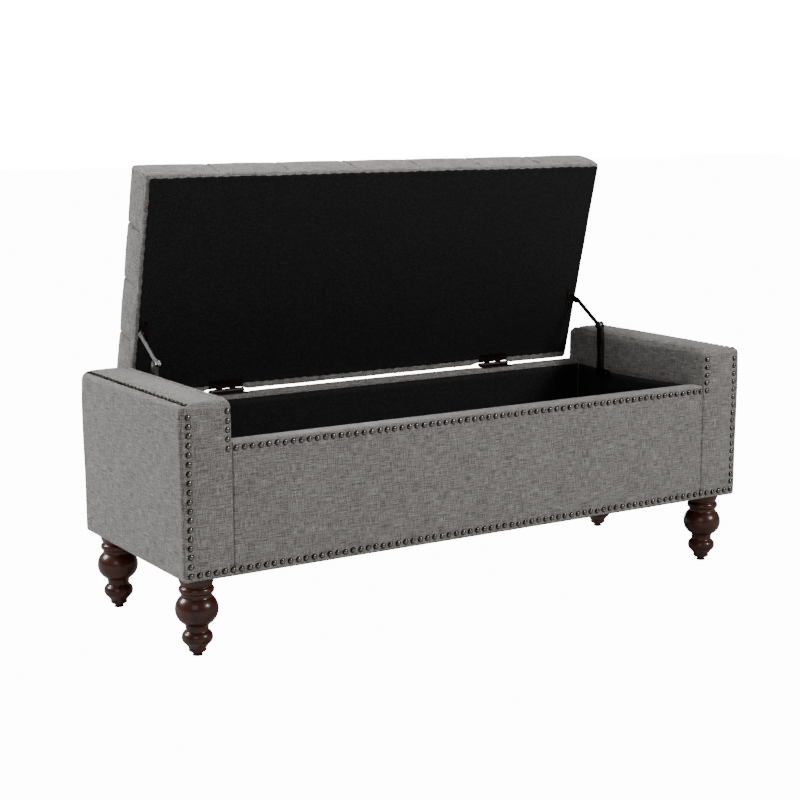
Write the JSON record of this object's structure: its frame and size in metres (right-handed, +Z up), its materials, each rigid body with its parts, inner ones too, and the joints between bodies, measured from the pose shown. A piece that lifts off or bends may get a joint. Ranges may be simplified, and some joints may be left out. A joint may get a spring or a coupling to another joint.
{
  "type": "storage bench",
  "caption": "Upholstered storage bench with low arms, a hinged tufted lid held open by folding stays, turned legs and nailhead trim.",
  "frame": {"origin": "on the floor, under the middle of the whole bench as it stands with its lid open", "axes": "+X along the bench to the viewer's right, +Y towards the back, +Z up"},
  "size_m": [1.3, 0.5407, 0.861],
  "materials": {
    "linen": "matte",
    "foam": "matte",
    "black_lining": "matte",
    "espresso_wood": "gloss",
    "glide_plastic": "matte",
    "zinc_steel": "satin",
    "stay_dark_steel": "satin",
    "hinge_bronze": "satin",
    "nailhead": "satin",
    "frame_wood": "matte"
  },
  "bodies": {
    "base": {"front_board": "frame_wood", "rear_board": "frame_wood", "bottom_board": "frame_wood", "front_rail": "frame_wood", "rear_rail": "frame_wood", "floor_cleats": "frame_wood", "left_arm_outer_board": "frame_wood", "left_arm_inner_board": "frame_wood", "left_arm_posts": "frame_wood", "left_arm_top_board": "frame_wood", "right_arm_outer_board": "frame_wood", "right_arm_inner_board": "frame_wood", "right_arm_posts": "frame_wood", "right_arm_top_board": "frame_wood", "leg_blocks": "frame_wood", "left_arm_pad": "foam", "right_arm_pad": "foam", "front_cover": "linen", "rear_cover": "linen", "left_arm_cover": "linen", "right_arm_cover": "linen", "box_lining": "black_lining", "dust_cover": "black_lining", "front_left_leg": "espresso_wood", "front_right_leg": "espresso_wood", "rear_left_leg": "espresso_wood", "rear_right_leg": "espresso_wood", "leg_bolts": "zinc_steel", "foot_glides": "glide_plastic", "nails_front_bottom": "nailhead", "nails_front_top": "nailhead", "nails_left_column": "nailhead", "nails_right_column": "nailhead", "nails_left_arm_front": "nailhead", "nails_right_arm_front": "nailhead", "nails_left_arm_top": "nailhead", "nails_right_arm_top": "nailhead", "left_hinge_base_leaf": "hinge_bronze", "right_hinge_base_leaf": "hinge_bronze", "hinge_pins": "hinge_bronze", "base_screws": "hinge_bronze", "left_stay_base_bracket": "stay_dark_steel", "right_stay_base_bracket": "stay_dark_steel"},
    "lid": {"lid_board": "frame_wood", "lid_foam": "foam", "lid_cover": "linen", "lid_lining": "black_lining", "lid_buttons": "linen", "left_hinge_lid_leaf": "hinge_bronze", "right_hinge_lid_leaf": "hinge_bronze", "lid_screws": "hinge_bronze", "left_stay_lid_bracket": "zinc_steel", "right_stay_lid_bracket": "zinc_steel"},
    "left_stay_lower": {"left_stay_lower_arm": "stay_dark_steel", "left_stay_elbow_rivet": "zinc_steel"},
    "left_stay_upper": {"left_stay_upper_arm": "zinc_steel"},
    "right_stay_lower": {"right_stay_lower_arm": "stay_dark_steel", "right_stay_elbow_rivet": "zinc_steel"},
    "right_stay_upper": {"right_stay_upper_arm": "zinc_steel"}
  },
  "joints": [
    {"name": "lid_hinge", "type": "hinge", "parent": "base", "child": "lid", "pos_m": [0, 0.1885, 0.4005], "axis": [-1, 0, 0], "range_deg": [-77.1, 0]},
    {"name": "left_stay_base_pivot", "type": "hinge", "parent": "base", "child": "left_stay_lower", "pos_m": [-0.546, 0.0673, 0.3779], "axis": [-1, 0, 0], "range_deg": [-97.85, 0]},
    {"name": "left_stay_elbow", "type": "hinge", "parent": "left_stay_lower", "child": "left_stay_upper", "pos_m": [-0.546, 0.0696, 0.4875], "axis": [-1, 0, 0], "range_deg": [0, 115.51]},
    {"name": "right_stay_base_pivot", "type": "hinge", "parent": "base", "child": "right_stay_lower", "pos_m": [0.546, 0.0673, 0.3779], "axis": [-1, 0, 0], "range_deg": [-97.85, 0]},
    {"name": "right_stay_elbow", "type": "hinge", "parent": "right_stay_lower", "child": "right_stay_upper", "pos_m": [0.546, 0.0696, 0.4875], "axis": [-1, 0, 0], "range_deg": [0, 115.51]}
  ],
  "couplings": [
    {"joint": "left_stay_base_pivot", "follows": "lid_hinge", "ratio": 1.2627},
    {"joint": "left_stay_elbow", "follows": "lid_hinge", "ratio": -1.4917},
    {"joint": "right_stay_base_pivot", "follows": "lid_hinge", "ratio": 1.2627},
    {"joint": "right_stay_elbow", "follows": "lid_hinge", "ratio": -1.4917}
  ]
}
